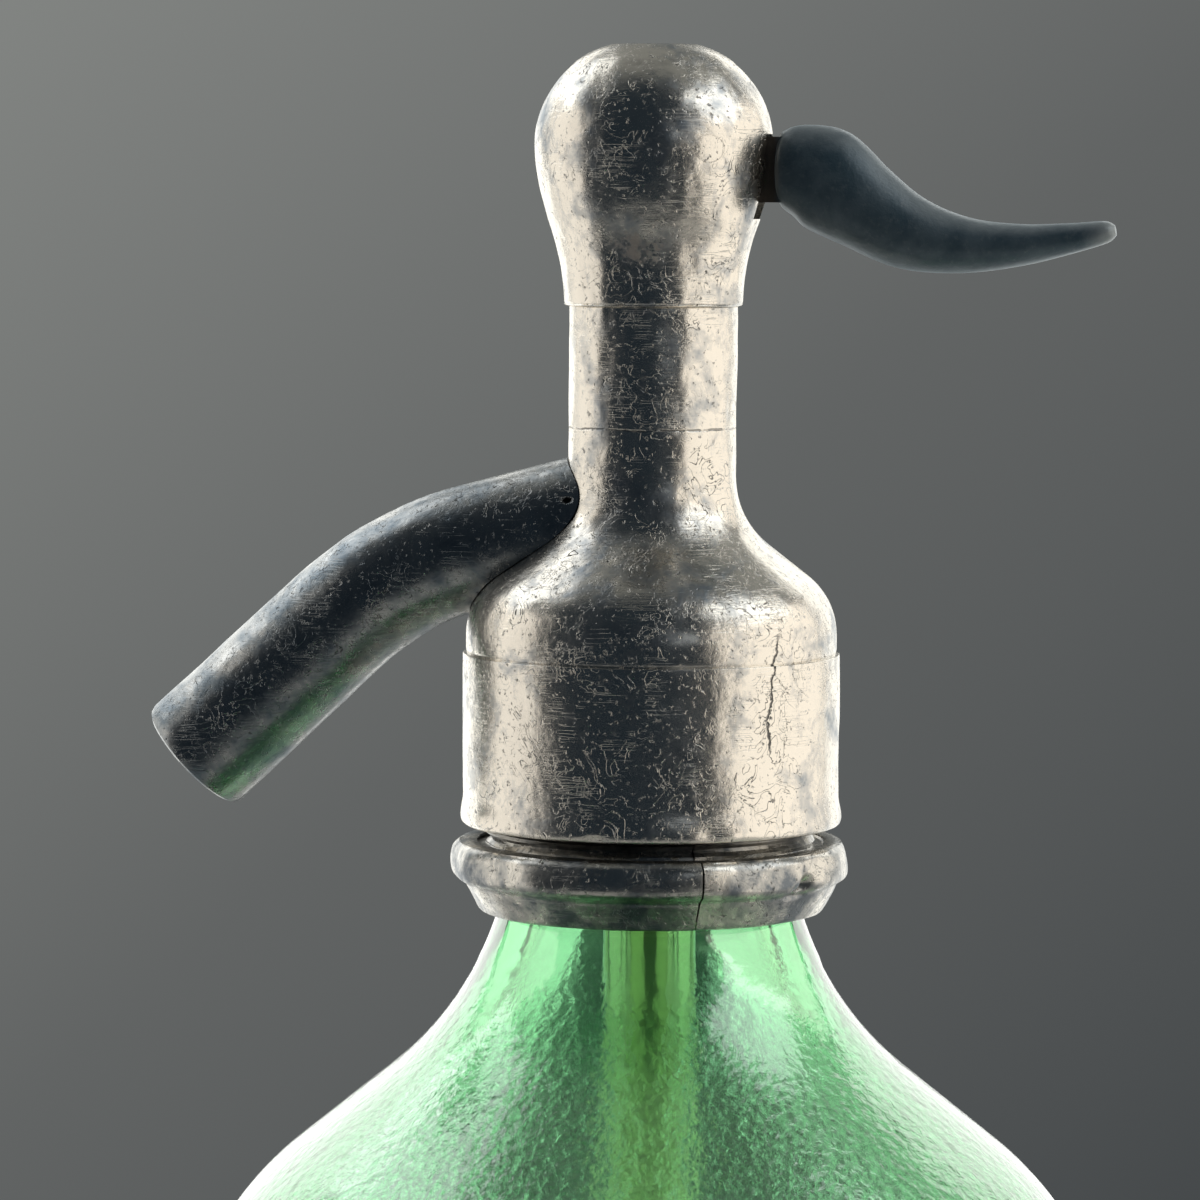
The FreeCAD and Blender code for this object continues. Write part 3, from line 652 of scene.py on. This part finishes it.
def collar_half(name, start):
    """Half of the collar, with a thread on its neck and knocks on its flange."""
    liner_gap = 0.83
    flare_drop = 2.2
    thread_top, bead_seat = 18.88, 17.55
    shelf_z = LIP_Z - 8.0
    cone_z = COLLAR_Z + 3.2
    top_z = cone_z + 5.0
    neck = NECK_RADIUS + liner_gap
    flare = (NECK_RADIUS + FLARE_BEND, LIP_Z - BEAD_DEPTH - flare_drop)
    bend = FLARE_BEND - liner_gap
    low = 180 + math.degrees(math.asin((flare[1] - COLLAR_Z) / bend))
    outline = [(19.8, COLLAR_Z, 0.5), (21.4, cone_z - 0.3, 0.3), (21.6, cone_z + 0.2, 0.3)]
    outline += [(22.9, cone_z + 0.9, 0.7), (23.05, cone_z + 2.5, 0.9), (22.7, cone_z + 4.2, 0.7)]
    outline += [(21.7, top_z - 0.1, 0.5), (20.4, top_z - 0.1, 0.3), (20.1, top_z - 0.6, 0.2)]
    outline += [(thread_top, top_z - 0.6, 0.2), (thread_top, COLLAR_TOP, 0.4)]
    outline += [(bead_seat, COLLAR_TOP, 0.2), (bead_seat, shelf_z, 0.1), (neck, shelf_z, 0.1)]
    outline += arc(flare, bend, 180, low, 6)
    outline = spaced(rounded(outline), 0.4)

    def warp(r, z, turn):
        outside = r > 18.5
        if outside and z > top_z - 0.3:
            r -= thread(z, turn, 1.5, 0.75) * (r > 18.8) * (z > top_z - 0.2)
        elif outside:
            r -= abs(waviness(turn, z, 5, 0.35, 3.0))
            r -= dent(turn, z, -29.0, cone_z + 1.5, 2.4, 1.0, 1.5)
            r -= dent(turn, z, -33.0, cone_z + 0.6, 2.0, 0.6, 0.7)
            r -= dent(turn, z, -24.0, cone_z + 3.6, 4.0, 0.6, 0.35)
            r -= dent(turn, z, -128.0, cone_z + 3.0, 5.0, 0.8, 0.25)
        return r, z

    split_radius = 20
    inset = SPLIT_GAP / 2 / split_radius
    return lathe(name, outline, start + inset, math.pi - 2 * inset, sides=320, warp=warp)


HEAD = {"skirt": 21.65, "dome": 21.3, "column": 9.7, "foot_bend": 10.0, "dome_bend": 8.8, "slope": 52.0}


def head_outside(grow=0.0):
    """Outline of skirt, dome and column from the skirt's rim to the column's top."""
    skirt, dome, column = HEAD["skirt"] + grow, HEAD["dome"] + grow, HEAD["column"] + grow
    dome_z = LEDGE_Z + 9.3
    seam_z = LEDGE_Z + 7.3
    bend, foot, slope = HEAD["dome_bend"] + grow, HEAD["foot_bend"] - grow, HEAD["slope"]
    turn = math.radians(slope)
    end = (dome - bend * (1 - math.cos(turn)), dome_z + bend * math.sin(turn))
    foot_r = column + foot * (1 - math.cos(turn))
    foot_top = end[1] + (end[0] - foot_r) / math.tan(turn) + foot * math.sin(turn)
    points = [(skirt + 0.05, SKIRT_Z, 0.35), (skirt + 0.28, SKIRT_Z + 0.7, 0.5)]
    points += [(skirt + 0.2, SKIRT_Z + 1.8, 0.8), (skirt, SKIRT_Z + 3.0, 0.8)]
    points += [(skirt, seam_z, 0.12), (dome - 0.12, seam_z + 0.05, 0.06)]
    points += [(dome, seam_z + 0.5, 0.2)]
    points += arc((dome - bend, dome_z), bend, 0, slope, 16)
    points += arc((column + foot, foot_top), foot, 180 + slope, 180, 16)
    return points + [(column, BULB_Z, 0.15)]


def head_body():
    """Skirt, dome and column, bored all through, with the spout's port."""
    cavity, socket, bore, chamber, spigot = 19.0, 8.2, 5.6, 6.95, 8.6
    socket_z = LEDGE_Z + 7.8
    chamber_z = LEDGE_Z + 42.4
    points = head_outside()
    points += [(spigot, BULB_Z, 0.1), (spigot, HEAD_TOP, 0.4), (chamber, HEAD_TOP, 0.2)]
    points += [(chamber, chamber_z, 0.1), (bore, chamber_z, 0.1), (bore, socket_z, 0.1)]
    points += [(socket, socket_z, 0.1), (socket, LEDGE_Z, 0.2), (cavity, LEDGE_Z, 0.2)]
    points += [(cavity, SKIRT_Z, 0.5)]
    outline = spaced(rounded(points), 0.9)

    def warp(r, z, turn):
        if r > 20 or (r > 9 and z > LEDGE_Z + 10):
            r -= abs(waviness(turn, z, 8, 0.16, 5.0)) + abs(waviness(turn, z, 2.5, 0.05, 9.0))
            r -= dent(turn, z, -38, LEDGE_Z + 16.5, 6, 0.9, 0.10)
            r -= dent(turn, z, -62, SKIRT_Z + 1.0, 4, 0.8, 0.25)
            r -= dent(turn, z, -97, SKIRT_Z + 0.4, 3, 0.5, 0.22)
        return r, z

    piece = lathe("head", outline, sides=224, warp=warp)
    start, out = SPOUT["start"], SPOUT["out"]
    return carve(piece, bar_piece("port", start, start + out * 16, 4.6))


def plane(x, z):
    return Vector((x, 0, z))


def spout_route():
    """The spout's straight root, bend and straight mouth, as the frame has them."""
    first, last, bend = math.radians(15), math.radians(43), 38.0
    start = plane(0, LEDGE_Z + 24.7)
    out = plane(-math.cos(first), -math.sin(first))
    down = plane(-math.cos(last), -math.sin(last))
    bend_start = start + out * 21.1
    centre = bend_start + plane(math.sin(first), -math.cos(first)) * bend
    stops = [(start, first), (start + out * 10.5, first)]
    for i in range(13):
        turn = first + (last - first) * i / 12
        stops.append((centre + plane(-math.sin(turn), math.cos(turn)) * bend, turn))
    bend_end = stops[-1][0]
    for i in range(1, 13):
        stops.append((bend_end + down * (23.8 * i / 12), last))
    return {"start": start, "out": out, "down": down, "stops": stops, "tip": stops[-1][0]}


SPOUT = spout_route()


def spout_lane():
    """Stations down the spout's outside, round its rim and up its bore: place, lean, radius."""
    stops, down, tip = SPOUT["stops"], SPOUT["down"], SPOUT["tip"]
    straight = len(stops) - 13
    lane = []
    for i, (point, lean) in enumerate(stops):
        share = max(0, i - straight) / 12
        lane.append((point, lean, 7.22 + 0.2 * share))
    last = lane[-1][1]
    lane[-1] = (tip - down * 0.8, last, lane[-1][2])
    for back, radius in ((0.25, 7.25), (0, 6.9), (0, 5.5), (0.4, 5.02)):
        lane.append((tip - down * back, last, radius))
    for i in range(len(stops) - 2, -1, -1):
        point, lean = stops[i]
        lane.append((point, lean, 5.0 if i >= straight else 3.6))
    return lane


def spout_ring(point, lean, radius, worn):
    """A ring about a station, its radius lessened by wear and by a nick if worn."""
    sides = 72
    nick_place = Vector((-39.0, -3.0, 254.5))
    up = plane(-math.sin(lean), math.cos(lean))
    ring = []
    for i in range(sides):
        turn = 2 * math.pi * i / sides
        way = up * math.cos(turn) + Vector((0, 1, 0)) * math.sin(turn)
        place = point + way * radius
        reach = radius
        if worn:
            nick = (place - nick_place).length / 1.2
            reach -= abs(noise.noise(place / 7.0)) * 0.16
            reach -= 0.25 * math.exp(-nick * nick)
        ring.append(point + way * reach)
    return ring


def spout():
    """Spout with a rounded rim, a bore all through and its root cut to sit on the column."""
    outer_from = 6.5
    bend_start = 2
    rings = []
    for k, (point, lean, radius) in enumerate(spout_lane()):
        rings.append(spout_ring(point, lean, radius, radius > outer_from and k >= bend_start))
    piece = rings_piece("spout", rings, True)
    outline = [(0, SKIRT_Z)] + rounded(head_outside(0.02), False) + [(0, BULB_Z)]
    return carve(piece, lathe("saddle", outline, sides=224))


def bulb_outside():
    """Outline of the bulb from its rim to its flat top."""
    rim, widest, waist, belly, crown = 10.35, 13.64, 26.0, 26.0, 11.67
    widest_z = BULB_Z + 18.3
    lean = math.degrees(math.acos(1 - (widest - rim) / (waist + belly)))
    low_z = widest_z - (waist + belly) * math.sin(math.radians(lean))
    first = 180 - math.degrees(math.asin((BULB_Z + 1.3 - low_z) / waist))
    top = math.degrees(math.asin((BULB_TOP - widest_z) / crown))
    points = [(rim - 0.35, BULB_Z, 0.1), (rim, BULB_Z + 0.35, 0.3)]
    points += arc((rim + waist, low_z), waist, first, 180 - lean, 10)
    points += arc((widest - belly, widest_z), belly, -lean, 0, 12)
    points += arc((widest - crown, widest_z), crown, 0, top, 24)
    return points


def lever_housing():
    """Bulb with its thread socket, stirrup bore, lever slot and pin hole."""
    roof = BULB_TOP - 3.6
    points = bulb_outside() + [(0, BULB_TOP), (0, roof), (6.2, roof, 0.3), (6.2, HEAD_TOP + 0.05)]
    points += [(8.7, HEAD_TOP + 0.05, 0.1), (8.7, BULB_Z, 0.2)]
    outline = spaced(rounded(points), 0.8)

    def warp(r, z, turn):
        if r > 9 and z > BULB_Z + 0.2:
            r -= abs(waviness(turn, z, 7, 0.18, 2.0)) + abs(waviness(turn, z, 2.2, 0.06, 4.0))
            r -= dent(turn, z, -92, BULB_TOP - 1.2, 16, 0.7, 0.12)
        return r, z

    piece = lathe("bulb", outline, sides=192, warp=warp)
    slot_z = BULB_Z + 9.9
    pocket_high = (11.7, SLOT_HALF, PIN.z + 3.7)
    slot_high = (28, SLOT_HALF, PIN.z + 1.7)
    carve(piece, box_piece("pocket", (0, -SLOT_HALF, slot_z), pocket_high))
    carve(piece, box_piece("slot", (0, -SLOT_HALF, slot_z), slot_high))
    return carve(piece, bar_piece("pin_hole", (PIN.x, -20, PIN.z), (PIN.x, 20, PIN.z), 1.53))


def pivot_pin():
    """Pin whose ends are filed down just below the bulb's skin."""
    pin = bar_piece("pin", (PIN.x, -20, PIN.z), (PIN.x, 20, PIN.z), 1.5)
    filed = 0.1
    skin = [(r - filed, z) for r, z in rounded(bulb_outside(), False)]
    outline = [(0, BULB_Z)] + skin + [(0, BULB_TOP)]
    return carve(pin, lathe("pin_dressing", outline), "INTERSECT")


# The horn's stations: distance out, height above the pin, lean in degrees, half height, half width
HORN = (
    (14.3, -2.4, 0, 3.0, 3.2),
    (14.8, -2.3, 0, 4.3, 4.2),
    (16.8, -2.5, -6, 5.3, 4.9),
    (20.1, -3.6, -24, 5.95, 5.2),
    (24.4, -6.6, -33, 5.0, 5.1),
    (29.5, -9.4, -20, 4.2, 4.7),
    (35.7, -10.7, -6, 3.15, 4.1),
    (42.0, -10.6, 5, 2.35, 3.4),
    (47.7, -9.8, 10, 1.7, 2.6),
    (51.4, -9.1, 10, 1.25, 1.9),
    (52.5, -8.9, 10, 0.6, 1.0),
)


def between(stations, per_span):
    """The stations with more between them on a smooth curve."""
    done = []
    for i in range(len(stations) - 1):
        p0, p1, p2, p3 = (stations[min(max(k, 0), len(stations) - 1)] for k in range(i - 1, i + 3))
        for j in range(per_span):
            t = j / per_span
            row = []
            for a, b, c, d in zip(p0, p1, p2, p3):
                bend = 2 * a - 5 * b + 4 * c - d
                twist = 3 * (b - c) + d - a
                row.append(b + 0.5 * t * (c - a + t * (bend + t * twist)))
            done.append(row)
    done.append(stations[-1])
    return done


def lever():
    """Horn with its tongue: a stub in the slot, an eye on the pin and a nose in the stirrup."""
    sides = 48
    rings = []
    for x, rise, lean, half_height, half_width in between(HORN, 5):
        turn = math.radians(lean)
        up = plane(-math.sin(turn), math.cos(turn))
        centre = plane(x, PIN.z + rise)
        ring = []
        for i in range(sides):
            angle = 2 * math.pi * i / sides
            way = up * (half_height * math.cos(angle)) + Vector((0, half_width * math.sin(angle), 0))
            ring.append(centre + way * (1 - 0.012 * abs(noise.noise((centre + way) / 5.0))))
        rings.append(ring)
    piece = rings_piece("lever", rings, False)
    half = TONGUE_HALF
    tools = (
        box_piece("stub", (PIN.x, -half, PIN.z - 6.0), (15.8, half, PIN.z + 1.4)),
        bar_piece("eye", (PIN.x, -half, PIN.z), (PIN.x, half, PIN.z), 3.4),
        box_piece("neck", (0, -half + 0.001, PIN.z - 1.2), (PIN.x, half - 0.001, PIN.z + 1.2)),
        bar_piece("nose", (0, -half, PIN.z), (0, half, PIN.z), 2.0),
    )
    for tool in tools:
        carve(piece, tool, "UNION")
    return carve(piece, bar_piece("eye_hole", (PIN.x, -9, PIN.z), (PIN.x, 9, PIN.z), 1.55))


def return_spring():
    """Coil spring between the piston and the guide bush."""
    wire, radius, turns, sides, steps = 0.55, 4.3, 4, 16, 192
    low = node_low("return_spring").z + wire
    high = node_high("return_spring").z - wire
    rings = []
    for i in range(steps + 1):
        share = i / steps
        turn = 2 * math.pi * turns * share
        out = Vector((math.cos(turn), math.sin(turn), 0))
        centre = out * radius + Vector((0, 0, low + (high - low) * share))
        ring = []
        for k in range(sides):
            angle = 2 * math.pi * k / sides
            rise = Vector((0, 0, wire * math.sin(angle)))
            ring.append(centre + out * (wire * math.cos(angle)) + rise)
        rings.append(ring)
    return rings_piece("spring", rings, False)


def settle_spring():
    """The spring rides on the base in place of its CAD node, with a mesh of its own; its head stays
    under the bush.
    """
    spring = settle(return_spring(), "base", STEEL, "return_spring")
    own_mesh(spring)


settle(glass_bottle(), "base", GLASS, "glass_bottle")
settle(dip_tube(), "base", TUBE, "dip_tube")
settle(collar_half("collar_right", SPLIT_ANGLE), "base", COLLAR_PEWTER, "collar_half_right")
collar_left = collar_half("collar_left", SPLIT_ANGLE + math.pi)
settle(collar_left, "base", COLLAR_PEWTER, "collar_half_left")
settle(head_body(), "base", HEAD_PEWTER, "head_body")
settle(spout(), "base", SPOUT_PEWTER, "spout")
settle(lever_housing(), "base", BULB_PEWTER, "lever_housing")
settle(pivot_pin(), "base", BULB_PEWTER, "pivot_pin")
settle(lever(), "lever", LEVER_SKIN, "lever")
settle_spring()

NODE_MATERIALS = {
    "tube_glass": TUBE,
    "steel": STEEL,
    "spring_steel": STEEL,
    "brass": BRASS,
    "rubber": RUBBER,
    "pewter": PEWTER,
    "green_glass": GLASS,
    "dark_lever": LEVER_SKIN,
}
for part in frame["record"]["subparts"]:
    mesh = frame["nodes"][part["node"]].data
    mesh.materials.clear()
    mesh.materials.append(NODE_MATERIALS[part["material_slot"]])


# Stage, lights and camera

CAMERA_AZIMUTH = 10
CAMERA_BEARING = math.radians(CAMERA_AZIMUTH - 90)
HEAD_MIDDLE = Vector((0, 0, 0.26))


def stage_material(name, colour):
    s = Shader(name)
    s.set(Base_Color=(*colour, 1), Roughness=0.7)
    return s.material


def make_stage():
    """A pale round table top under the siphon."""
    floor = lathe("floor", [(0, 0), (420, 0), (430, -6), (430, -12), (0, -12)], sides=128)
    floor.location.z = -0.0002
    floor.data.materials.append(stage_material("floor", (0.62, 0.62, 0.61)))


def soft_box(name, bearing, distance, size, radiance, colour, lift=0.0):
    """A soft panel that faces the head from a bearing, counted from the camera towards the lever."""
    turn = CAMERA_BEARING + math.radians(bearing)
    place = HEAD_MIDDLE + Vector((math.cos(turn), math.sin(turn), 0)) * distance + Vector((0, 0, lift))
    light = bpy.data.lights.new(name, "AREA")
    light.shape = "RECTANGLE"
    light.size, light.size_y = size
    light.energy = 4 * radiance * size[0] * size[1]
    light.color = colour
    lamp = bpy.data.objects.new(name, light)
    bpy.context.scene.collection.objects.link(lamp)
    lamp.location = place
    lamp.rotation_euler = (HEAD_MIDDLE - place).to_track_quat("-Z", "Y").to_euler()
    lamp.visible_camera = False


def make_lights():
    """Wide panels left and right of the object, reaching round behind it, and a weak one in front."""
    soft_box("left_side", -101, 0.80, (0.82, 1.00), 0.70, (1.0, 0.955, 0.89))
    soft_box("left_back", -152, 0.95, (0.64, 1.30), 1.10, (1.0, 1.0, 0.97))
    soft_box("right_side", 86, 0.80, (1.50, 1.00), 0.92, (1.0, 0.945, 0.86))
    soft_box("right_back", 152, 0.95, (0.64, 1.30), 1.05, (1.0, 1.0, 0.96))
    soft_box("upper_left", -125, 0.70, (0.60, 0.50), 1.20, (0.95, 0.98, 1.0), 0.62)
    soft_box("upper_right", 80, 0.75, (0.80, 0.55), 1.30, (0.94, 0.98, 1.0), 0.70)
    soft_box("front_fill", 22, 1.40, (0.4, 0.4), 0.30, (0.85, 0.93, 1.0), 0.35)


def make_world():
    """A grey backdrop that darkens to the lower right, and a dim room on the camera's side."""
    pale, middle, deep = (0.223, 0.232, 0.223), (0.122, 0.128, 0.127), (0.061, 0.067, 0.070)
    dim_room = (0.014, 0.022, 0.031)
    world = bpy.data.worlds.new("studio")
    bpy.context.scene.world = world
    world.use_nodes = True
    sky = Nodes(world.node_tree)
    place = sky.add("ShaderNodeTexCoord").outputs["Generated"]
    x, y, z = sky.add("ShaderNodeSeparateXYZ", {0: place}).outputs
    right = sky.calc("MULTIPLY_ADD", x, 2.07, sky.calc("MULTIPLY", y, 0.366))
    across = sky.calc("MULTIPLY_ADD", z, -2.41, sky.calc("ADD", right, 0.311))
    backdrop = sky.ramp(across, (0.0, pale), (0.5, middle), (1.0, deep))
    depth = sky.calc("MULTIPLY_ADD", y, 0.5, 0.5)
    behind = sky.ramp(depth, (0.30, 0.0), (0.60, 1.0))
    colour = sky.mix(behind, dim_room, backdrop)
    sky.join(colour, world.node_tree.nodes["Background"].inputs["Color"])


def make_camera():
    """A long lens a little above the skirt, the lever turned slightly towards it."""
    azimuth = math.radians(CAMERA_AZIMUTH)
    elevation = math.radians(4.5)
    roll = math.radians(0.3)
    distance = 0.620
    frame_width = 0.1373
    aim_right = -0.0059
    aim_height = 0.2515
    level = math.cos(elevation)
    right = Vector((math.cos(azimuth), math.sin(azimuth), 0))
    back = Vector((math.sin(azimuth) * level, -math.cos(azimuth) * level, math.sin(elevation)))
    target = Vector((0, 0, aim_height)) + right * aim_right
    data = bpy.data.cameras.new("camera")
    data.sensor_fit = "HORIZONTAL"
    data.sensor_width = 36
    data.lens = data.sensor_width / 2 / (frame_width / 2 / distance)
    camera = bpy.data.objects.new("camera", data)
    bpy.context.scene.collection.objects.link(camera)
    camera.location = target + back * distance
    turn = (-back).to_track_quat("-Z", "Y").to_matrix().to_4x4() @ Matrix.Rotation(roll, 4, "Z")
    camera.rotation_euler = turn.to_euler()
    bpy.context.scene.camera = camera


make_stage()
make_lights()
make_world()
make_camera()
bpy.context.scene.view_settings.view_transform = "Standard"
